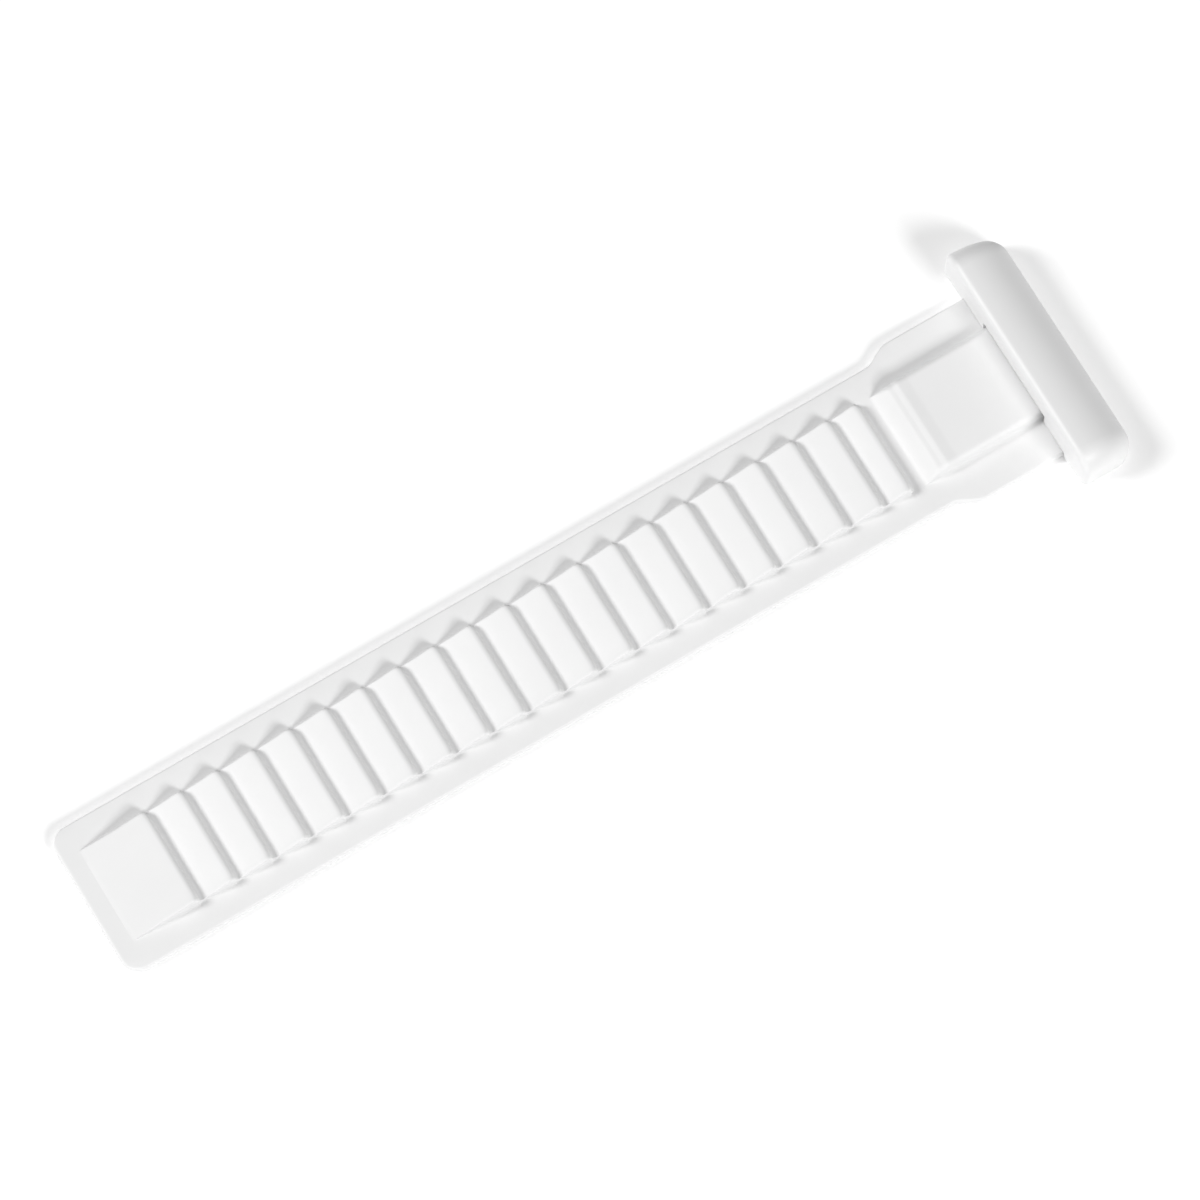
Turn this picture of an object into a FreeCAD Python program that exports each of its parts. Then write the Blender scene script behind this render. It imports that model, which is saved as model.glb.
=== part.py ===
import FreeCAD, Part
import math
import os
import Sketcher

# Toothed latch strap of a stair gate, with a hollow T-shaped head.
# Lengths are in millimetres. Inside the sketches X runs from the free tail (0) to the head,
# Y across the strap and Z up from the flat underside. Each finished piece is then shifted
# by half the overall length, so that the origin is under the middle of the whole part.

SIZES = {
    # strap flange
    "overall_length": 136.5,
    "flange_width": 20.0,
    "flange_thickness": 1.4,
    "tail_radius": 2.4,
    "shoulder_start": 113.9,
    "shoulder_run": 4.0,
    "shoulder_step": 1.5,
    "shoulder_radius": 2.2,
    # lead-in wedge and ratchet teeth
    "rack_width": 12.8,
    "wedge_start": 2.45,
    "wedge_length": 9.4,
    "wedge_front": 0.3,
    "tooth_pitch": 5.0,
    "tooth_count": 19,
    "last_tooth_length": 4.05,
    "root_above_flange": 0.2,
    "crest_above_flange": 1.7,
    "steep_face_lean": 0.35,
    "crest_radius": 0.7,
    "tooth_corner_radius": 0.8,
    # neck block between the teeth and the head
    "neck_width": 12.9,
    "neck_height": 1.8,
    "neck_start": 112.6,
    "landing_run": 1.9,
    "ridge_run": 3.1,
    "groove_run": 4.6,
    "landing_drop": 0.2,
    "ridge_rise": 0.15,
    # eye at the strap's end, inside the head
    "eye_inset": 3.4,
    "eye_diameter": 3.2,
    "eye_height": 2.9,
    "flange_into_head": 1.3,
    # T-shaped head
    "head_start": 128.9,
    "head_depth": 7.6,
    "head_width": 32.4,
    "head_height": 7.0,
    "head_wall": 1.5,
    "head_end_radius": 2.8,
    "head_edge_radius": 0.8,
    "head_foot_radius": 0.4,
    "crown_bend": 4.45,
    "crown_side_height": 3.24,
    "crown_top_radius": 7.3,
    "crown_side_radius": 4.0,
    "cavity_brow": 3.2,
    "cavity_brow_height": 5.1,
    "cavity_shoulder": 5.0,
    "cavity_shoulder_height": 3.9,
    "cavity_side_height": 2.2,
    "neck_slot_gap": 0.5,
    "slot_top_gap": 0.15,
    # steel cross pin and its saddles
    "pin_diameter": 1.6,
    "pin_length": 20.0,
    "pin_gap": 0.05,
    "saddle_inner": 7.2,
    "saddle_thickness": 1.2,
    # cover under the head and its two screws
    "cover_thickness": 1.2,
    "cover_gap": 0.08,
    "boss_diameter": 4.8,
    "screw_spacing": 24.6,
    "screw_diameter": 2.0,
    "screw_length": 4.4,
    "screw_head_diameter": 3.8,
    "screw_head_height": 0.9,
    "screw_head_gap": 0.1,
    "recess_width": 0.6,
    "recess_span": 2.2,
    "recess_depth": 0.6,
}

OVERSHOOT = 1.0     # how far a cutting tool passes the surface that it cuts, mm

doc = FreeCAD.newDocument("stair_gate_latch_strap")
sheet = doc.addObject("Spreadsheet::Sheet", "Sizes")
for row, (alias, number) in enumerate(SIZES.items(), start=1):
    sheet.set("A%d" % row, alias.replace("_", " "))
    sheet.set("B%d" % row, str(number))
    sheet.setAlias("B%d" % row, alias)
doc.recompute()


class Size:
    """A length as a number and as the spreadsheet expression that gives it."""

    def __init__(self, number, text):
        self.number = float(number)
        self.text = text

    def combine(self, other, sign, number):
        return Size(number, "(%s %s %s)" % (self.text, sign, other.text))

    def __add__(self, other):
        other = as_size(other)
        return self.combine(other, "+", self.number + other.number)

    def __sub__(self, other):
        other = as_size(other)
        return self.combine(other, "-", self.number - other.number)

    def __mul__(self, other):
        other = as_size(other)
        return self.combine(other, "*", self.number * other.number)

    def __truediv__(self, other):
        other = as_size(other)
        return self.combine(other, "/", self.number / other.number)

    def __neg__(self):
        return self * -1


def as_size(value):
    return value if isinstance(value, Size) else Size(value, repr(float(value)))


def size(alias):
    return Size(sheet.get(alias), "Sizes." + alias)


def bind(item, prop, value):
    item.setExpression(prop, as_size(value).text)


# ---------------------------------------------------------------- sketching helpers

def new_body(name):
    body = doc.addObject("PartDesign::Body", name)
    body.Label = name
    return body


def new_sketch(body, name, role, offset=None):
    """A sketch on one of the body's own origin planes, moved along its normal by offset."""
    plane = next(p for p in body.Origin.OriginFeatures if p.Role == role)
    sketch = body.newObject("Sketcher::SketchObject", name)
    sketch.AttachmentSupport = (plane, [""])
    sketch.MapMode = "FlatFace"
    if offset is not None:
        bind(sketch, "AttachmentOffset.Base.z", offset)
    return sketch


def fix_point(sketch, geometry, position, x, y):
    for kind, value in (("DistanceX", x), ("DistanceY", y)):
        number = as_size(value).number
        index = sketch.addConstraint(
            Sketcher.Constraint(kind, -1, 1, geometry, position, number))
        bind(sketch, "Constraints[%d]" % index, value)


def short_arc(centre, start, end):
    """The short arc from start to end, with the sketcher's position numbers of those ends.

    The sketcher counts every arc anticlockwise, so a clockwise one is drawn from its end.
    """
    a, b = start - centre, end - centre
    turns_left = a.x * b.y - a.y * b.x > 0
    first, last = (a, b) if turns_left else (b, a)
    circle = Part.Circle(centre, FreeCAD.Vector(0, 0, 1), a.Length)
    arc = Part.ArcOfCircle(circle, math.atan2(first.y, first.x), math.atan2(last.y, last.x))
    return (arc, 1, 2) if turns_left else (arc, 2, 1)


def draw_outline(sketch, corners):
    """Closed outline through corners (x, y, radius), in order.

    A corner whose radius is None is sharp. A rounded corner keeps its sharp point as
    construction geometry that lies on both of its lines.
    """
    points = [FreeCAD.Vector(as_size(x).number, as_size(y).number, 0) for x, y, _ in corners]
    count = len(points)
    trimmed = []
    arcs = []
    for i, (x, y, radius) in enumerate(corners):
        point = points[i]
        back = (points[i - 1] - point).normalize()
        ahead = (points[(i + 1) % count] - point).normalize()
        if radius is None:
            trimmed.append((point, point))
            arcs.append(None)
            continue
        number = as_size(radius).number
        half = back.getAngle(ahead) / 2
        reach = number / math.tan(half)
        start = point + back * reach
        end = point + ahead * reach
        bisector = (back + ahead).normalize()
        centre = point + bisector * (number / math.sin(half))
        trimmed.append((start, end))
        arcs.append(short_arc(centre, start, end))
    lines = []
    for i in range(count):
        segment = Part.LineSegment(trimmed[i][1], trimmed[(i + 1) % count][0])
        lines.append(sketch.addGeometry(segment, False))
    for i, (x, y, radius) in enumerate(corners):
        before, after = lines[i - 1], lines[i]
        if radius is None:
            sketch.addConstraint(Sketcher.Constraint("Coincident", before, 2, after, 1))
            fix_point(sketch, after, 1, x, y)
            continue
        curve, first, last = arcs[i]
        arc = sketch.addGeometry(curve, False)
        sketch.addConstraint(Sketcher.Constraint("Tangent", before, 2, arc, first))
        sketch.addConstraint(Sketcher.Constraint("Tangent", arc, last, after, 1))
        index = sketch.addConstraint(
            Sketcher.Constraint("Radius", arc, as_size(radius).number))
        bind(sketch, "Constraints[%d]" % index, radius)
        sharp = sketch.addGeometry(Part.Point(points[i]), True)
        sketch.addConstraint(Sketcher.Constraint("PointOnObject", sharp, 1, before))
        sketch.addConstraint(Sketcher.Constraint("PointOnObject", sharp, 1, after))
        fix_point(sketch, sharp, 1, x, y)


def add_pad(body, sketch, name, length, midplane=False):
    pad = body.newObject("PartDesign::Pad", name)
    pad.Profile = sketch
    if midplane:
        pad.SideType = "Symmetric"
    bind(pad, "Length", length)
    doc.recompute()
    return pad


def add_pocket(body, sketch, name, length, upward):
    pocket = body.newObject("PartDesign::Pocket", name)
    pocket.Profile = sketch
    pocket.Reversed = upward
    before = body.Tip.Shape.Volume if body.Tip is not pocket else pocket.BaseFeature.Shape.Volume
    bind(pocket, "Length", length)
    doc.recompute()
    after = pocket.Shape.Volume
    assert after < before - 1e-4, name + " removes nothing"
    return pocket


def edges_where(shape, wanted):
    return ["Edge%d" % (i + 1) for i, edge in enumerate(shape.Edges) if wanted(edge)]


def add_fillet(body, base, name, radius, wanted):
    names = edges_where(base.Shape, wanted)
    assert names, name + " finds no edges"
    fillet = body.newObject("PartDesign::Fillet", name)
    fillet.Base = (base, names)
    bind(fillet, "Radius", radius)
    doc.recompute()
    return fillet


# ---------------------------------------------------------------- shared positions

half_flange = size("flange_width") / 2
half_end = half_flange + size("shoulder_step")
top_of_flange = size("flange_thickness")
crest_height = top_of_flange + size("crest_above_flange")
root_height = top_of_flange + size("root_above_flange")
neck_top = top_of_flange + size("neck_height")
rack_start = size("wedge_start") + size("wedge_length")
head_back = size("head_start") + size("head_wall")
head_front = size("head_start") + size("head_depth")
cavity_front = head_front - size("head_wall")
eye_centre = size("head_start") + size("eye_inset")
half_cavity = size("head_width") / 2 - size("head_wall")


# ---------------------------------------------------------------- toothed strap

def draw_corner_cuts(sketch, crest_x):
    """Two spandrels that round the crest's ends in plan, one on each side."""
    radius = size("tooth_corner_radius")
    edge = size("rack_width") / 2
    for side in (1, -1):
        back = crest_x - radius
        near = (edge - radius) * side
        outer = (edge + OVERSHOOT) * side
        level = edge * side
        centre = FreeCAD.Vector(back.number, near.number, 0)
        along_y = FreeCAD.Vector(back.number, level.number, 0)
        along_x = FreeCAD.Vector(crest_x.number, near.number, 0)
        arc, first, last = short_arc(centre, along_y, along_x)
        corners = [along_x, FreeCAD.Vector(crest_x.number, outer.number, 0),
                   FreeCAD.Vector(back.number, outer.number, 0), along_y]
        lines = [sketch.addGeometry(Part.LineSegment(a, b), False)
                 for a, b in zip(corners, corners[1:])]
        curve = sketch.addGeometry(arc, False)
        sketch.addConstraint(Sketcher.Constraint("Coincident", curve, last, lines[0], 1))
        sketch.addConstraint(Sketcher.Constraint("Coincident", lines[0], 2, lines[1], 1))
        sketch.addConstraint(Sketcher.Constraint("Coincident", lines[1], 2, lines[2], 1))
        sketch.addConstraint(Sketcher.Constraint("Coincident", lines[2], 2, curve, first))
        index = sketch.addConstraint(Sketcher.Constraint("Radius", curve, radius.number))
        bind(sketch, "Constraints[%d]" % index, radius)
        fix_point(sketch, lines[0], 1, crest_x, near)
        fix_point(sketch, lines[1], 1, crest_x, outer)
        fix_point(sketch, lines[2], 1, back, outer)
        sketch.addConstraint(Sketcher.Constraint("Vertical", lines[2]))
        index = sketch.addConstraint(
            Sketcher.Constraint("DistanceY", -1, 1, lines[2], 2, level.number))
        bind(sketch, "Constraints[%d]" % index, level)


def add_tooth(body, name, start, end, foot, front, width, lean):
    """A rack block that rises from start to a rounded crest and drops steeply at end."""
    profile = new_sketch(body, name + "Profile", "XZ_Plane")
    bottom = top_of_flange / 2
    draw_outline(profile, [
        (start, bottom, None),
        (end, bottom, None),
        (end, foot, None),
        (end - lean, crest_height, size("crest_radius")),
        (start, front, None),
    ])
    pad = add_pad(body, profile, name, width, midplane=True)
    cuts = new_sketch(body, name + "CornerPlan", "XY_Plane", top_of_flange)
    draw_corner_cuts(cuts, end)
    corners = add_pocket(body, cuts, name + "Corners", size("crest_above_flange") + OVERSHOOT,
                         upward=True)
    return [pad, corners]


def make_strap():
    body = new_body("toothed_strap")
    plan = new_sketch(body, "FlangePlan", "XY_Plane")
    shoulder_end = size("shoulder_start") + size("shoulder_run")
    flange_end = size("head_start") + size("flange_into_head")
    bend = size("shoulder_radius")
    round_tail = size("tail_radius")
    draw_outline(plan, [
        (as_size(0), -half_flange, round_tail),
        (size("shoulder_start"), -half_flange, bend),
        (shoulder_end, -half_end, bend),
        (flange_end, -half_end, None),
        (flange_end, half_end, None),
        (shoulder_end, half_end, bend),
        (size("shoulder_start"), half_flange, bend),
        (as_size(0), half_flange, round_tail),
    ])
    add_pad(body, plan, "Flange", size("flange_thickness"))

    width = size("rack_width")
    lean = size("steep_face_lean")
    add_tooth(body, "Wedge", size("wedge_start"), rack_start, root_height,
              top_of_flange + size("wedge_front"), width, lean)
    first_end = rack_start + size("tooth_pitch")
    tooth = add_tooth(body, "Tooth", rack_start, first_end, root_height, root_height, width, lean)
    rack = body.newObject("PartDesign::LinearPattern", "ToothRow")
    rack.Originals = tooth
    rack.Direction = (next(a for a in body.Origin.OriginFeatures if a.Role == "X_Axis"), [""])
    bind(rack, "Occurrences", size("tooth_count"))
    bind(rack, "Length", size("tooth_pitch") * (size("tooth_count") - 1))
    body.Tip = rack
    doc.recompute()
    last_start = rack_start + size("tooth_pitch") * size("tooth_count")
    last_end = last_start + size("last_tooth_length")
    add_tooth(body, "LastTooth", last_start, last_end, root_height, root_height, width, lean)

    neck = new_sketch(body, "NeckProfile", "XZ_Plane")
    start = size("neck_start")
    neck_end = eye_centre
    draw_outline(neck, [
        (start, top_of_flange / 2, None),
        (size("head_start") + size("flange_into_head"), top_of_flange / 2, None),
        (size("head_start") + size("flange_into_head"), top_of_flange, None),
        (neck_end, top_of_flange, None),
        (neck_end, neck_top, None),
        (start + size("groove_run"), neck_top, None),
        (start + size("ridge_run"), neck_top + size("ridge_rise"), None),
        (start + size("landing_run"), neck_top - size("landing_drop"), None),
        (start, top_of_flange, None),
    ])
    add_pad(body, neck, "Neck", size("neck_width"), midplane=True)

    eye = new_sketch(body, "EyeSection", "XZ_Plane")
    add_circle(eye, eye_centre, size("eye_height"), size("eye_diameter") / 2)
    add_pad(body, eye, "Eye", size("neck_width"), midplane=True)
    hole = new_sketch(body, "EyeHoleSection", "XZ_Plane")
    add_circle(hole, eye_centre, size("eye_height"), size("pin_diameter") / 2 + size("pin_gap"))
    bore = body.newObject("PartDesign::Pocket", "EyeHole")
    bore.Profile = hole
    bore.SideType = "Symmetric"
    bind(bore, "Length", size("neck_width") + 2 * OVERSHOOT)
    doc.recompute()
    return body


def add_circle(sketch, x, y, radius):
    centre = FreeCAD.Vector(as_size(x).number, as_size(y).number, 0)
    circle = sketch.addGeometry(
        Part.Circle(centre, FreeCAD.Vector(0, 0, 1), as_size(radius).number), False)
    fix_point(sketch, circle, 3, x, y)
    index = sketch.addConstraint(Sketcher.Constraint("Radius", circle, as_size(radius).number))
    bind(sketch, "Constraints[%d]" % index, radius)


# ---------------------------------------------------------------- T-shaped head

def new_part(kind, name, **sizes):
    """A Part primitive with its sizes bound to the sheet."""
    item = doc.addObject(kind, name)
    for prop, value in sizes.items():
        bind(item, prop, value)
    return item


def place(item, x=0, y=0, z=0):
    for axis, value in (("x", x), ("y", y), ("z", z)):
        bind(item, "Placement.Base." + axis, value)


def new_box(name, x, y, z):
    """A box that fills the ranges x, y and z, each given as (low, high)."""
    box = new_part("Part::Box", name, Length=as_size(x[1]) - x[0], Width=as_size(y[1]) - y[0],
                   Height=as_size(z[1]) - z[0])
    place(box, x[0], y[0], z[0])
    return box


def new_rod(name, x, y, z, radius, length, along_y=False):
    """A cylinder that starts at (x, y, z) and runs along +Z, or along +Y."""
    rod = new_part("Part::Cylinder", name, Radius=radius, Height=length)
    if along_y:
        rod.Placement.Rotation = FreeCAD.Rotation(FreeCAD.Vector(1, 0, 0), -90)
    place(rod, x, y, z)
    return rod


def fuse(name, items):
    item = doc.addObject("Part::MultiFuse", name)
    item.Shapes = items
    return item


def cut(name, base, tool):
    item = doc.addObject("Part::Cut", name)
    item.Base = base
    item.Tool = tool
    return item


def near(a, b):
    return abs(a - b) < 1e-4


def make_head_form():
    """The head's outer form: crowned on top, rounded at both ends, flat towards the strap."""
    body = new_body("head_form")
    section = new_sketch(body, "HeadSection", "XZ_Plane")
    back = size("head_start")
    draw_outline(section, [
        (back, as_size(0), None),
        (head_front, as_size(0), None),
        (head_front, size("crown_side_height"), size("crown_side_radius")),
        (back + size("crown_bend"), size("head_height"), size("crown_top_radius")),
        (back, size("head_height"), None),
    ])
    pad = add_pad(body, section, "HeadBlock", size("head_width"), midplane=True)
    half = size("head_width").number / 2
    inner = back.number

    def on_end_face(edge):
        box = edge.BoundBox
        flat = near(box.YMin, box.YMax) and near(abs(box.YMin), half)
        return flat and box.ZMax > 1e-4 and box.XMax > inner + 1e-4

    def round_inner_face(edge):
        box = edge.BoundBox
        return near(box.XMin, inner) and near(box.XMax, inner) and box.ZMax > 1e-4

    def round_foot(edge):
        box = edge.BoundBox
        return near(box.ZMax, 0) and box.XMax > inner + size("head_edge_radius").number + 1e-4

    ends = add_fillet(body, pad, "HeadEnds", size("head_end_radius"), on_end_face)
    rim = add_fillet(body, ends, "HeadInnerRim", size("head_edge_radius"), round_inner_face)
    add_fillet(body, rim, "HeadFoot", size("head_foot_radius"), round_foot)
    return body


def make_head_void():
    """What is hollow in the head: the crowned cavity less its bosses and pin saddles."""
    body = new_body("head_cavity")
    section = new_sketch(body, "CavitySection", "XZ_Plane")
    back = size("head_start")
    ceiling = size("head_height") - size("head_wall")
    draw_outline(section, [
        (head_back, -OVERSHOOT, None),
        (cavity_front, -OVERSHOOT, None),
        (cavity_front, size("cavity_side_height"), None),
        (back + size("cavity_shoulder"), size("cavity_shoulder_height"), None),
        (back + size("cavity_brow"), size("cavity_brow_height"), None),
        (head_back, ceiling, None),
    ])
    add_pad(body, section, "CavityBlock", half_cavity * 2, midplane=True)

    solids = []
    bosses_from = size("cover_thickness") + size("cover_gap")
    for side in (1, -1):
        solids.append(new_rod("Boss", eye_centre, size("screw_spacing") / 2 * side, bosses_from,
                              size("boss_diameter") / 2, size("head_height")))
        low = size("saddle_inner") * side
        high = (size("saddle_inner") + size("saddle_thickness")) * side
        ends = (low, high) if side > 0 else (high, low)
        solids.append(new_box("Saddle", (head_back - OVERSHOOT, cavity_front + OVERSHOOT), ends,
                              (bosses_from, size("head_height"))))
    kept = fuse("BossesAndSaddles", solids)
    notch_half = size("pin_diameter") / 2 + size("pin_gap")
    reach = size("pin_length") / 2 + OVERSHOOT
    notch_top = new_rod("SaddleNotchTop", eye_centre, -reach, size("eye_height"), notch_half,
                        reach * 2, along_y=True)
    notch = new_box("SaddleNotch", (eye_centre - notch_half, eye_centre + notch_half),
                    (-reach, reach), (as_size(0), size("eye_height")))
    hollow = cut("HollowBetweenBosses", body, kept)
    return fuse("HeadVoid", [hollow, notch_top, notch])


def make_head_shell():
    form = make_head_form()
    void = make_head_void()
    gap = size("neck_slot_gap")
    through = (size("head_start") - OVERSHOOT, head_back + OVERSHOOT / 2)
    half_neck = size("neck_width") / 2 + gap
    neck_slot = new_box("NeckSlot", through, (-half_neck, half_neck),
                        (as_size(-OVERSHOOT), neck_top + size("slot_top_gap")))
    half_plate = half_end + size("cover_gap")
    flange_slot = new_box("FlangeSlot", through, (-half_plate, half_plate),
                          (as_size(-OVERSHOOT), top_of_flange + size("cover_gap")))
    pilots = [new_rod("Pilot", eye_centre, size("screw_spacing") / 2 * side, 0,
                      size("screw_diameter") / 2, size("screw_length") + size("screw_head_gap"))
              for side in (1, -1)]
    tools = fuse("HeadCuts", [void, neck_slot, flange_slot] + pilots)
    return cut("head_shell", form, tools)


def make_cover():
    """Flat plate that closes the head from below, with two posts that hold the pin up."""
    gap = size("cover_gap")
    plate = new_box("CoverPlate", (head_back + gap, cavity_front - gap),
                    (gap - half_cavity, half_cavity - gap), (as_size(0), size("cover_thickness")))
    post_top = size("eye_height") - size("pin_diameter") / 2 - size("pin_gap")
    half_post = size("pin_diameter") / 2 - size("pin_gap")
    parts = [plate]
    for side in (1, -1):
        low = (size("saddle_inner") + gap) * side
        high = (size("saddle_inner") + size("saddle_thickness") - gap) * side
        ends = (low, high) if side > 0 else (high, low)
        parts.append(new_box("PinPost", (eye_centre - half_post, eye_centre + half_post), ends,
                             (as_size(0), post_top)))
    whole = fuse("CoverWhole", parts)
    holes = []
    head_gap = size("screw_head_gap")
    for side in (1, -1):
        y = size("screw_spacing") / 2 * side
        holes.append(new_rod("CoverHole", eye_centre, y, -OVERSHOOT,
                             size("screw_diameter") / 2 + head_gap,
                             size("cover_thickness") + 2 * OVERSHOOT))
        sink = new_part("Part::Cone", "Countersink", Radius1=size("screw_head_diameter") / 2
                        + head_gap, Radius2=size("screw_diameter") / 2 + head_gap,
                        Height=size("screw_head_height"))
        place(sink, eye_centre, y, 0)
        holes.append(sink)
    return cut("head_cover", whole, fuse("CoverHoles", holes))


def make_screws():
    """Two countersunk self-tapping screws, heads down, each with a cross recess."""
    screws = []
    for side in (1, -1):
        y = size("screw_spacing") / 2 * side
        head = new_part("Part::Cone", "ScrewHead", Radius1=size("screw_head_diameter") / 2,
                        Radius2=size("screw_diameter") / 2, Height=size("screw_head_height"))
        place(head, eye_centre, y, 0)
        shank = new_rod("ScrewShank", eye_centre, y, 0, size("screw_diameter") / 2,
                        size("screw_length"))
        blank = fuse("ScrewBlank", [head, shank])
        half_arm = size("recess_span") / 2
        half_slot = size("recess_width") / 2
        depth = (as_size(-OVERSHOOT), size("recess_depth"))
        arms = [new_box("RecessArm", (eye_centre - a, eye_centre + a), (y - b, y + b), depth)
                for a, b in ((half_arm, half_slot), (half_slot, half_arm))]
        screws.append(cut("Screw", blank, fuse("CrossRecess", arms)))
    return fuse("cover_screws", screws)


def make_pin():
    """Steel cross pin through the strap's eye."""
    return new_rod("PinRod", eye_centre, size("pin_length") / -2, size("eye_height"),
                   size("pin_diameter") / 2, size("pin_length"), along_y=True)


# ---------------------------------------------------------------- finished pieces

def finish(item, label, from_x=0):
    """Name a finished piece and shift it so that the origin is under the part's middle."""
    item.Label = label
    bind(item, "Placement.Base.x", as_size(from_x) - size("overall_length") / 2)
    return item


pieces = [
    finish(make_strap(), "toothed_strap"),
    finish(make_head_shell(), "head_shell"),
    finish(make_cover(), "head_cover"),
    finish(make_screws(), "cover_screws"),
    finish(make_pin(), "anchor_pin", eye_centre),
]
doc.recompute()

for item in doc.Objects:
    assert not {"Invalid", "Error"} & set(item.State), item.Name + " failed"
os.makedirs("parts", exist_ok=True)
for piece in pieces:
    shape = piece.Shape
    assert not shape.isNull() and shape.isValid(), piece.Label + " has no valid shape"
    shape.exportStep("parts/%s.step" % piece.Label)
    box = shape.optimalBoundingBox()
    print("%-14s solids %d volume %8.2f mm3  X %.2f..%.2f  Y %.2f..%.2f  Z %.2f..%.2f" % (
        piece.Label, len(shape.Solids), shape.Volume,
        box.XMin, box.XMax, box.YMin, box.YMax, box.ZMin, box.ZMax))
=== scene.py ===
"""Stair gate latch strap: the looks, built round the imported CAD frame. Lengths are in metres."""

import math

import bmesh
import bpy
from mathutils import Matrix, Vector


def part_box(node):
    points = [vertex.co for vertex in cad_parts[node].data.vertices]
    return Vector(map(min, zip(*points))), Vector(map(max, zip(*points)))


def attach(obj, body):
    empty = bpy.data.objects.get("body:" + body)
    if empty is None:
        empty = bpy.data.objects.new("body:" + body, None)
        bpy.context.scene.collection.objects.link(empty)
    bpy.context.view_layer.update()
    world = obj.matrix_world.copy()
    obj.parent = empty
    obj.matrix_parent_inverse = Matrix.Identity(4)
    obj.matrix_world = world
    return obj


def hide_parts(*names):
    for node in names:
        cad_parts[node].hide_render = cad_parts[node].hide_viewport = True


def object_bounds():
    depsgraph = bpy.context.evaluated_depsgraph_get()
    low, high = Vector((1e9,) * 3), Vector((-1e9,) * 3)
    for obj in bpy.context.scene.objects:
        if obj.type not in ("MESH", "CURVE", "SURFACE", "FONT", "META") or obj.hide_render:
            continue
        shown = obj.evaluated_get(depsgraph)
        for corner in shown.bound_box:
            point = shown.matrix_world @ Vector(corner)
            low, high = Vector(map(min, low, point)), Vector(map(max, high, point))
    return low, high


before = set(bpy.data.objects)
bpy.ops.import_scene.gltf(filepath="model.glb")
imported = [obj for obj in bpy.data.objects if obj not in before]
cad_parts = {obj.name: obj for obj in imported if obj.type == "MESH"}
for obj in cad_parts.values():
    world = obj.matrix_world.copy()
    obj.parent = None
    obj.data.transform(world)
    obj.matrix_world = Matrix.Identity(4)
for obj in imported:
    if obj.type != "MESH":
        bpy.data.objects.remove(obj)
cad_low, cad_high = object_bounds()

MM = 0.001
IMAGE_PIXELS = 1200
SENSOR_MM = 36.0

# Camera: where it looks from, in degrees, and how large the object appears.
CAMERA_AZIMUTH = -30.98
CAMERA_ELEVATION = 73.0
CAMERA_DISTANCE = 893.5 * MM
PIXELS_PER_METRE = 8333.0
LOOK_AT = Vector((3.4 * MM, 1.7 * MM, 0.0))
NEAREST_SEEN = 0.01
FARTHEST_SEEN = 20.0

# Floor: half its side, how far below the part it lies, its grey and its faint glow.
FLOOR_REACH = 3.0
FLOOR_GAP = 0.1 * MM
FLOOR_GREY = 0.93
FLOOR_GLOW = 0.2

WHITE = (1.0, 1.0, 1.0, 1.0)

# Nearly all of a noise's values lie between these two.
NOISE_LOW = 0.3
NOISE_HIGH = 0.7
NOISE_ROUGHNESS = 0.55


def direction(azimuth, elevation):
    """Unit vector that points from the object towards a viewer or a light."""
    turn = math.radians(azimuth)
    lift = math.radians(elevation)
    return Vector((
        math.sin(turn) * math.cos(lift),
        -math.cos(turn) * math.cos(lift),
        math.sin(lift),
    ))


def aim(item, back):
    """Turns an object so that its -Z axis looks along -back, level with the horizon."""
    item.rotation_euler = back.to_track_quat("Z", "Y").to_euler()


def make_camera():
    data = bpy.data.cameras.new("camera")
    data.sensor_width = SENSOR_MM
    focal_pixels = PIXELS_PER_METRE * CAMERA_DISTANCE
    data.lens = focal_pixels * SENSOR_MM / IMAGE_PIXELS
    data.clip_start = NEAREST_SEEN
    data.clip_end = FARTHEST_SEEN
    camera = bpy.data.objects.new("camera", data)
    bpy.context.scene.collection.objects.link(camera)
    back = direction(CAMERA_AZIMUTH, CAMERA_ELEVATION)
    camera.location = LOOK_AT + back * CAMERA_DISTANCE
    aim(camera, back)
    bpy.context.scene.camera = camera


def make_light(name, azimuth, elevation, irradiance, half_angle, distance=2.0):
    """A square soft light; irradiance is what it gives a surface that faces it."""
    data = bpy.data.lights.new(name, "AREA")
    data.shape = "SQUARE"
    data.size = 2.0 * distance * math.tan(math.radians(half_angle))
    data.energy = irradiance * math.pi * distance ** 2
    light = bpy.data.objects.new(name, data)
    bpy.context.scene.collection.objects.link(light)
    back = direction(azimuth, elevation)
    light.location = back * distance
    aim(light, back)


def make_world(strength):
    world = bpy.data.worlds.new("studio")
    world.use_nodes = True
    background = world.node_tree.nodes["Background"]
    background.inputs["Color"].default_value = WHITE
    background.inputs["Strength"].default_value = strength
    bpy.context.scene.world = world


def new_material(name):
    material = bpy.data.materials.new(name)
    material.use_nodes = True
    nodes = material.node_tree.nodes
    links = material.node_tree.links
    return material, nodes, links, nodes["Principled BSDF"]


def add_noise(nodes, links, place, size, detail, stretch=(1.0, 1.0, 1.0)):
    """Noise in the object's own coordinates, with features about `size` long, stretched."""
    mapping = nodes.new("ShaderNodeMapping")
    mapping.inputs["Scale"].default_value = [1.0 / (size * part) for part in stretch]
    noise = nodes.new("ShaderNodeTexNoise")
    noise.inputs["Scale"].default_value = 1.0
    noise.inputs["Detail"].default_value = detail
    noise.inputs["Roughness"].default_value = NOISE_ROUGHNESS
    links.new(place.outputs["Object"], mapping.inputs["Vector"])
    links.new(mapping.outputs["Vector"], noise.inputs["Vector"])
    return noise.outputs["Fac"]


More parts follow.
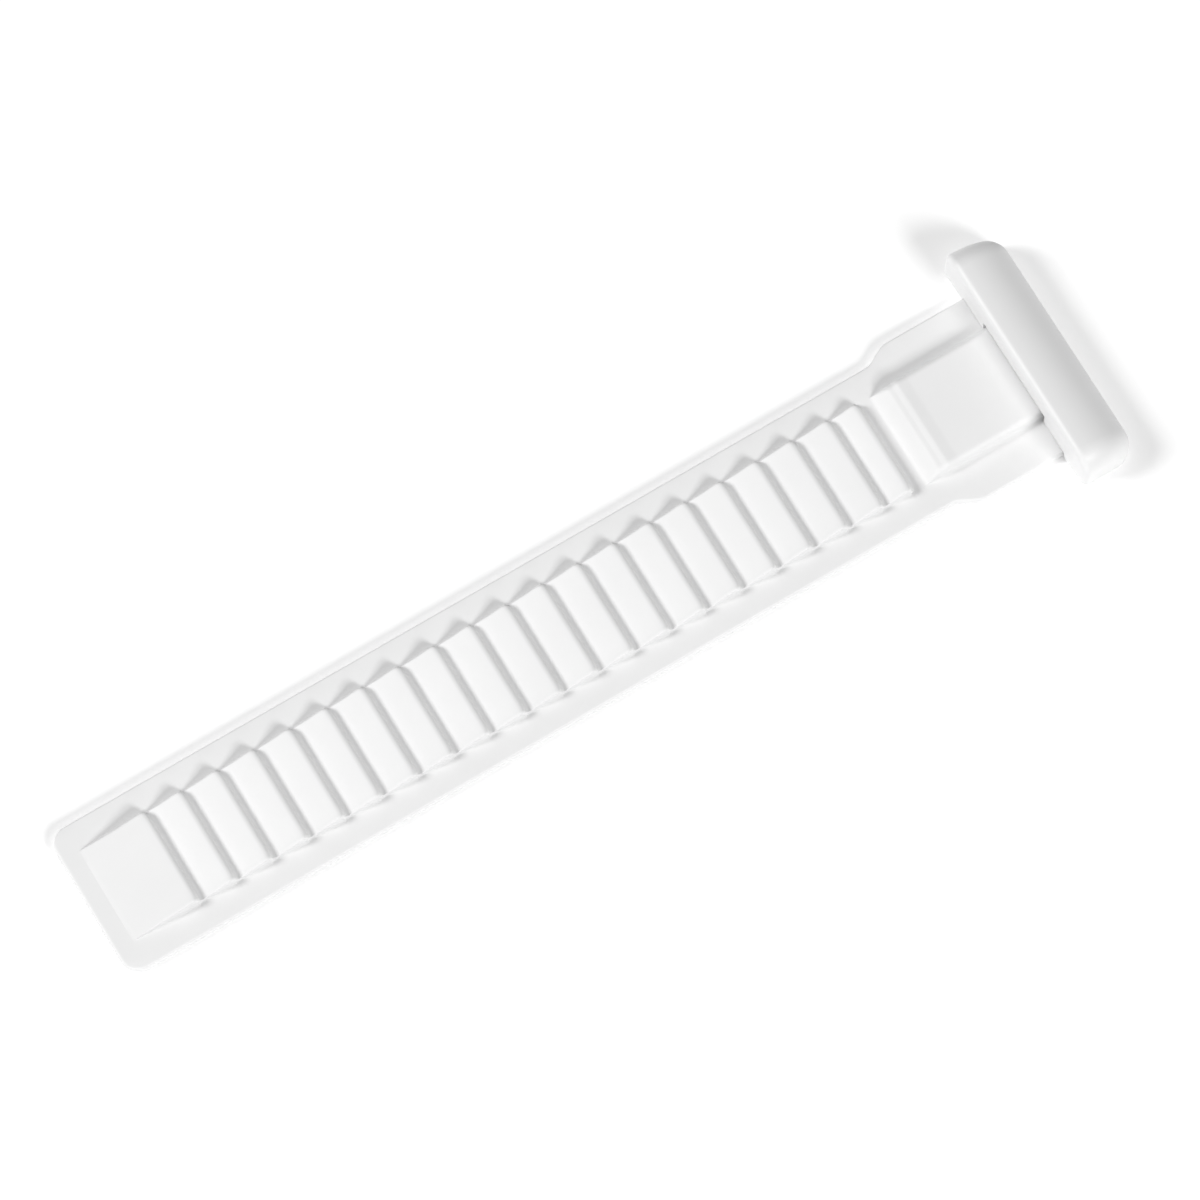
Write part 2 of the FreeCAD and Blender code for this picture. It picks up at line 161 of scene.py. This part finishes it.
def spread(nodes, links, source, low, high):
    """The noise's middle range, mapped to low..high."""
    change = nodes.new("ShaderNodeMapRange")
    change.inputs["From Min"].default_value = NOISE_LOW
    change.inputs["From Max"].default_value = NOISE_HIGH
    change.inputs["To Min"].default_value = low
    change.inputs["To Max"].default_value = high
    links.new(source, change.inputs["Value"])
    return change.outputs["Result"]


def add_bump(nodes, links, source, depth, below=None):
    """Relief of this depth, on top of the relief below if there is one."""
    bump = nodes.new("ShaderNodeBump")
    bump.inputs["Strength"].default_value = 1.0
    bump.inputs["Distance"].default_value = depth
    links.new(source, bump.inputs["Height"])
    if below:
        links.new(below, bump.inputs["Normal"])
    return bump.outputs["Normal"]


def make_surface(name, dark, light, smooth, rough, grain, waves, stretch=(1.0, 1.0, 1.0)):
    """A material whose grey, roughness and relief all vary; grain and waves are (size, depth)."""
    material, nodes, links, shader = new_material(name)
    place = nodes.new("ShaderNodeTexCoord")
    fine = add_noise(nodes, links, place, grain[0], 3.0, stretch)
    broad = add_noise(nodes, links, place, waves[0], 2.0)
    cloud = add_noise(nodes, links, place, 2.5 * waves[0], 4.0, stretch)
    links.new(spread(nodes, links, cloud, dark, light), shader.inputs["Base Color"])
    links.new(spread(nodes, links, fine, smooth, rough), shader.inputs["Roughness"])
    relief = add_bump(nodes, links, broad, waves[1])
    relief = add_bump(nodes, links, fine, grain[1], relief)
    links.new(relief, shader.inputs["Normal"])
    return material, shader


def make_plastic(name, dark, light, smooth, rough, grain, waves):
    material, shader = make_surface(name, dark, light, smooth, rough, grain, waves)
    shader.inputs["IOR"].default_value = 1.48
    return material


def make_steel(name, smooth, rough, grain, waves, stretch):
    material, shader = make_surface(name, 0.52, 0.62, smooth, rough, grain, waves, stretch)
    shader.inputs["Metallic"].default_value = 1.0
    return material


def make_floor():
    mesh = bpy.data.meshes.new("floor")
    side = FLOOR_REACH
    corners = [(-side, -side, 0), (side, -side, 0), (side, side, 0), (-side, side, 0)]
    mesh.from_pydata(corners, [], [(0, 1, 2, 3)])
    floor = bpy.data.objects.new("floor", mesh)
    floor.location.z = cad_low[2] - FLOOR_GAP
    bpy.context.scene.collection.objects.link(floor)
    material, _, _, shader = new_material("floor")
    shader.inputs["Base Color"].default_value = (FLOOR_GREY, FLOOR_GREY, FLOOR_GREY, 1.0)
    shader.inputs["Roughness"].default_value = 0.9
    shader.inputs["Emission Color"].default_value = WHITE
    shader.inputs["Emission Strength"].default_value = FLOOR_GLOW
    mesh.materials.append(material)


def assign(node, material):
    """Gives a CAD node its material."""
    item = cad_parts[node]
    item.data.materials.clear()
    item.data.materials.append(material)


# ---------------------------------------------------------------- strap mesh

# The strap's own sizes, in millimetres from its free tail, from its middle line and
# above its flange. They are the CAD strap's, with the soft edges of a real moulding.
FLANGE_THICKNESS = 1.4
TAIL_RADIUS = 2.4
SHOULDER_MIDDLE = 115.9
SHOULDER_RUN = 4.0
FLANGE_HALF_WIDTH = 10.0
RACK_HALF_WIDTH = 6.4
NECK_HALF_WIDTH = 6.45
WEDGE_START = 2.45
WEDGE_FRONT = 0.12
WEDGE_FRONT_RUN = 0.5
WEDGE_FRONT_RADIUS = 0.6
FIRST_ROOT = 11.85
PITCH = 5.0
FULL_TEETH = 19
LAST_TOOTH = 4.05
ROOT = 0.2
CREST = 1.7
STEEP_LEAN = 0.35
CREST_RADIUS = 0.7
ROOT_RADIUS = 0.5
# The teeth's ends, round in plan: how far back, from how far inside, and along which part.
CORNER_RUN = 0.35
CORNER_WIDTH = 1.5
CORNER_FADE = 2.0
CORNERS_START = 6.0
CORNERS_START_RUN = 4.0
CORNERS_END_GAP = 0.2
CORNERS_END_RUN = 1.4
NECK_START = 112.6
NECK_MARGIN = 1.0
NECK_HEIGHT = 1.8
# Rounded edges; a low stretch shrinks its edge and foot to this share of its height.
EDGE_SHARE = 0.95
EDGE_RADIUS = 0.3
FOOT_RADIUS = 0.5
NECK_EDGE_RADIUS = 0.8
NECK_FOOT_RADIUS = 0.65
RIM_RADIUS = 0.3
UNDER_RADIUS = 0.15
# The strap's end inside the head.
FLANGE_INTO_HEAD = 1.3
TONGUE_LAP = 0.4
EYE_RADIUS = 1.6
EYE_HOLE_RADIUS = 0.85
EYE_SLOT_SPARE = 1.0
# How finely round shapes are drawn.
ARC_STEPS = 5
CIRCLE_STEPS = 40
TAIL_STEPS = 10
LONGEST_STEP = 0.6
SHORTEST_STEP = 1e-5
WELD_DISTANCE = 1e-7


def arc_points(corner, before, after, radius, steps):
    """Points of the arc that rounds a corner of a profile, from one side to the other."""
    corner, before, after = Vector(corner), Vector(before), Vector(after)
    way_in = (before - corner).normalized()
    way_out = (after - corner).normalized()
    opening = way_in.angle(way_out)
    reach = radius / math.tan(opening / 2)
    centre = corner + (way_in + way_out).normalized() * radius / math.sin(opening / 2)
    start = corner + way_in * reach - centre
    end = corner + way_out * reach - centre
    turn = start.angle(end)
    points = []
    for step in range(steps + 1):
        share = step / steps
        part = (start * math.sin((1 - share) * turn) + end * math.sin(share * turn))
        points.append(centre + part / math.sin(turn))
    return points


def rounded_profile(corners):
    """A profile through (x, height, radius) corners, rounded, with no step over the longest."""
    points = [Vector(corners[0][:2])]
    for before, corner, after in zip(corners, corners[1:], corners[2:]):
        if corner[2]:
            points += arc_points(corner[:2], before[:2], after[:2], corner[2], ARC_STEPS)
        else:
            points.append(Vector(corner[:2]))
    points.append(Vector(corners[-1][:2]))
    dense = [points[0]]
    for point in points[1:]:
        gap = point - dense[-1]
        if gap.length < SHORTEST_STEP:
            continue
        pieces = max(1, math.ceil(gap.length / LONGEST_STEP))
        start = dense[-1]
        dense += [start + gap * (piece + 1) / pieces for piece in range(pieces)]
    return dense


def smooth_step(share):
    """A soft rise from 0 to 1 as share goes from 0 to 1."""
    share = min(max(share, 0.0), 1.0)
    return share * share * (3.0 - 2.0 * share)


def tooth_ends():
    """Where each tooth's steep face reaches its foot, the wedge's first."""
    ends = [FIRST_ROOT + PITCH * number for number in range(FULL_TEETH + 1)]
    return ends + [ends[-1] + LAST_TOOTH]


def top_profile(last_x):
    """The strap's middle line from the side: (x, height above the flange)."""
    ends = tooth_ends()
    corners = [(TAIL_RADIUS, 0.0, 0), (WEDGE_START, 0.0, 0),
               (WEDGE_START + WEDGE_FRONT_RUN, WEDGE_FRONT, WEDGE_FRONT_RADIUS)]
    for end in ends[:-1]:
        corners.append((end - STEEP_LEAN, CREST, CREST_RADIUS))
        corners.append((end, ROOT, ROOT_RADIUS))
    corners.append((ends[-1] - STEEP_LEAN, CREST, CREST_RADIUS))
    corners.append((ends[-1], 0.0, ROOT_RADIUS))
    # The neck: the ramp's foot, landing, ridge, groove and level top.
    corners += [
        (NECK_START, 0.0, 0.8),
        (NECK_START + 1.95, NECK_HEIGHT - 0.25, 1.2),
        (NECK_START + 2.6, NECK_HEIGHT - 0.15, 1.5),
        (NECK_START + 3.3, NECK_HEIGHT + 0.1, 0.9),
        (NECK_START + 4.7, NECK_HEIGHT - 0.1, 3.5),
        (last_x, NECK_HEIGHT, 0),
    ]
    return rounded_profile(corners)


def rack_half_width(x):
    """Half the width of what stands on the flange: the teeth, then the neck."""
    return NECK_HALF_WIDTH if x > NECK_START - NECK_MARGIN else RACK_HALF_WIDTH


def corner_shift(x, y):
    """How far back a tooth's end lies from its middle, for corners that are round in plan."""
    teeth = smooth_step((x - CORNERS_START) / CORNERS_START_RUN)
    teeth *= smooth_step((NECK_START - CORNERS_END_GAP - x) / CORNERS_END_RUN)
    side = abs(y) - RACK_HALF_WIDTH
    if side > 0.0:
        return CORNER_RUN * teeth * max(0.0, 1.0 - side / CORNER_FADE)
    across = max(0.0, 1.0 + side / CORNER_WIDTH)
    return CORNER_RUN * teeth * (1.0 - math.sqrt(1.0 - across ** 2))


def flange_half_width(x, end_half_width):
    """Half the width of the flange: round tail, straight run, soft shoulders."""
    if x < TAIL_RADIUS:
        short = TAIL_RADIUS - math.sqrt(TAIL_RADIUS ** 2 - (TAIL_RADIUS - x) ** 2)
        return FLANGE_HALF_WIDTH - short
    share = (x - SHOULDER_MIDDLE) / SHOULDER_RUN + 0.5
    return FLANGE_HALF_WIDTH + (end_half_width - FLANGE_HALF_WIDTH) * smooth_step(share)


def edge_drop(distance, radius):
    """How far a rounded edge of this radius lies below its face, so far from the side."""
    if distance >= radius:
        return 0.0
    return radius - math.sqrt(radius ** 2 - (radius - distance) ** 2)


def quarter(centre_y, centre_z, radius, first, last):
    """Points of an arc from angle `first` to angle `last`, in degrees."""
    points = []
    for step in range(ARC_STEPS + 1):
        angle = math.radians(first + (last - first) * step / ARC_STEPS)
        points.append((centre_y + radius * math.cos(angle), centre_z + radius * math.sin(angle)))
    return points


def strap_section(x, height, end_half_width):
    """Half of the strap's section at x, as (y, z) from the top's middle to the bottom's."""
    rack = rack_half_width(x)
    half = flange_half_width(x, end_half_width)
    flange_top = FLANGE_THICKNESS - edge_drop(x, RIM_RADIUS)
    bottom = edge_drop(x, UNDER_RADIUS)
    top = flange_top + height
    edge, foot = EDGE_RADIUS, FOOT_RADIUS
    if x > NECK_START - NECK_MARGIN:
        edge, foot = NECK_EDGE_RADIUS, NECK_FOOT_RADIUS
    fit = min(1.0, EDGE_SHARE * height / (edge + foot))
    edge *= fit
    foot *= fit
    inner = rack - edge
    # Points crowd towards the edge, where corner_shift bends the teeth's ends back.
    points = [(inner * share, top) for share in (0.0, 0.35, 0.7, 0.78, 0.84, 0.89, 0.93, 0.97)]
    points += quarter(inner, top - edge, edge, 90, 0)
    points += quarter(rack + foot, flange_top + foot, foot, 180, 270)
    outer = half - RIM_RADIUS
    ledge = outer - rack - foot
    points += [(rack + foot + ledge * share, flange_top) for share in (0.33, 0.67)]
    points += quarter(outer, flange_top - RIM_RADIUS, RIM_RADIUS, 90, 0)
    points += quarter(half - UNDER_RADIUS, bottom + UNDER_RADIUS, UNDER_RADIUS, 0, -90)
    points += [(half * 0.5, bottom), (0.0, bottom)]
    return points


def solid_from_loops(name, loops):
    """A closed mesh through closed loops of (x, y, z) millimetre points, flat at both ends."""
    build = bmesh.new()
    rings = [[build.verts.new(Vector(point) * MM) for point in loop] for loop in loops]
    size = len(rings[0])
    for ring, following in zip(rings, rings[1:]):
        for index in range(size):
            after = (index + 1) % size
            build.faces.new((ring[index], ring[after], following[after], following[index]))
    build.faces.new(rings[0][::-1])
    build.faces.new(rings[-1])
    bmesh.ops.remove_doubles(build, verts=build.verts, dist=WELD_DISTANCE)
    bmesh.ops.dissolve_degenerate(build, edges=build.edges, dist=WELD_DISTANCE)
    bmesh.ops.recalc_face_normals(build, faces=build.faces)
    mesh = bpy.data.meshes.new(name)
    build.to_mesh(mesh)
    build.free()
    piece = bpy.data.objects.new(name, mesh)
    bpy.context.scene.collection.objects.link(piece)
    return piece


def extruded(name, outline, half_width):
    """A closed solid whose outline lies in the XZ plane, from -half_width to half_width."""
    loops = [[(x, y, z) for x, z in outline] for y in (-half_width, half_width)]
    return solid_from_loops(name, loops)


def combine(piece, other, operation):
    """Joins another solid to a piece, or cuts it out, and removes the other."""
    joint = piece.modifiers.new("combine", "BOOLEAN")
    joint.operation = operation
    joint.solver = "EXACT"
    joint.object = other
    bpy.context.view_layer.update()
    result = piece.evaluated_get(bpy.context.evaluated_depsgraph_get())
    mesh = bpy.data.meshes.new_from_object(result)
    piece.modifiers.clear()
    piece.data = mesh
    bpy.data.objects.remove(other)


def circle(x, z, radius, first=0, last=360):
    """Points along a circle in the XZ plane, without the last one if it is closed."""
    count = CIRCLE_STEPS if last - first == 360 else CIRCLE_STEPS + 1
    angles = [math.radians(first + (last - first) * step / CIRCLE_STEPS) for step in range(count)]
    return [(x + radius * math.cos(angle), z + radius * math.sin(angle)) for angle in angles]


def make_tongue(tail_x, flange_end):
    """The neck's end inside the head, with the eye for the cross pin."""
    pin_low, pin_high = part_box("anchor_pin")
    pin_x = (pin_low.x + pin_high.x) / 2 / MM - tail_x
    pin_z = (pin_low.z + pin_high.z) / 2 / MM
    low = FLANGE_THICKNESS
    high = FLANGE_THICKNESS + NECK_HEIGHT
    first = -math.degrees(math.acos((pin_z - low) / EYE_RADIUS)) - 90
    last = 180 - math.degrees(math.asin((high - pin_z) / EYE_RADIUS))
    start = flange_end - TONGUE_LAP
    outline = [(start, high), (start, low)] + circle(pin_x, pin_z, EYE_RADIUS, first, last)
    return outline, circle(pin_x, pin_z, EYE_HOLE_RADIUS)


def finish_piece(piece, material):
    """Gives a new piece its material and smooth shading, and ties it to the CAD body."""
    piece.data.materials.clear()
    piece.data.materials.append(material)
    piece.data.shade_smooth()
    even = piece.modifiers.new("even normals", "WEIGHTED_NORMAL")
    even.weight = 80
    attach(piece, "root")


def make_strap():
    """The whole strap as one closed mesh, lofted from tail to head, with its eye."""
    low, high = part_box("toothed_strap")
    tail_x = low.x / MM
    end_half_width = high.y / MM
    flange_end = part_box("head_shell")[0].x / MM - tail_x + FLANGE_INTO_HEAD
    stations = [(TAIL_RADIUS * (1 - math.cos(math.radians(90 * step / TAIL_STEPS))), 0.0)
                for step in range(TAIL_STEPS)]
    stations += [tuple(point) for point in top_profile(flange_end)]
    loops = []
    for x, height in stations:
        half = strap_section(x, height, end_half_width)
        whole = half + [(-y, z) for y, z in half[-2:0:-1]]
        loops.append([(x - corner_shift(x, y), y, z) for y, z in whole])
    strap = solid_from_loops("strap", loops)
    outline, hole = make_tongue(tail_x, flange_end)
    combine(strap, extruded("tongue", outline, NECK_HALF_WIDTH), "UNION")
    combine(strap, extruded("eye", hole, NECK_HALF_WIDTH + EYE_SLOT_SPARE), "DIFFERENCE")
    strap.data.transform(Matrix.Translation((tail_x * MM, 0.0, 0.0)))
    finish_piece(strap, strap_plastic)
    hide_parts("toothed_strap")


bpy.context.scene.view_settings.view_transform = "Standard"
make_camera()
make_light("tail_light", azimuth=-115.0, elevation=39.0, irradiance=2.0, half_angle=9.0)
make_light("side_light", azimuth=16.0, elevation=36.0, irradiance=1.9, half_angle=9.0)
make_world(0.22)
make_floor()

strap_plastic = make_plastic(
    "strap_plastic", dark=0.862, light=0.882, smooth=0.5, rough=0.64,
    grain=(0.22 * MM, 0.003 * MM), waves=(3.0 * MM, 0.012 * MM))
head_plastic = make_plastic(
    "head_plastic", dark=0.845, light=0.86, smooth=0.42, rough=0.52,
    grain=(0.45 * MM, 0.002 * MM), waves=(4.0 * MM, 0.008 * MM))
cover_plastic = make_plastic(
    "cover_plastic", dark=0.82, light=0.85, smooth=0.5, rough=0.64,
    grain=(0.2 * MM, 0.008 * MM), waves=(3.0 * MM, 0.01 * MM))
pin_steel = make_steel(
    "pin_steel", smooth=0.22, rough=0.38, grain=(0.06 * MM, 0.001 * MM),
    waves=(1.5 * MM, 0.002 * MM), stretch=(1.0, 30.0, 1.0))
screw_steel = make_steel(
    "screw_steel", smooth=0.28, rough=0.45, grain=(0.1 * MM, 0.002 * MM),
    waves=(0.8 * MM, 0.002 * MM), stretch=(1.0, 1.0, 1.0))
make_strap()
assign("head_shell", head_plastic)
assign("head_cover", cover_plastic)
assign("cover_screws", screw_steel)
assign("anchor_pin", pin_steel)
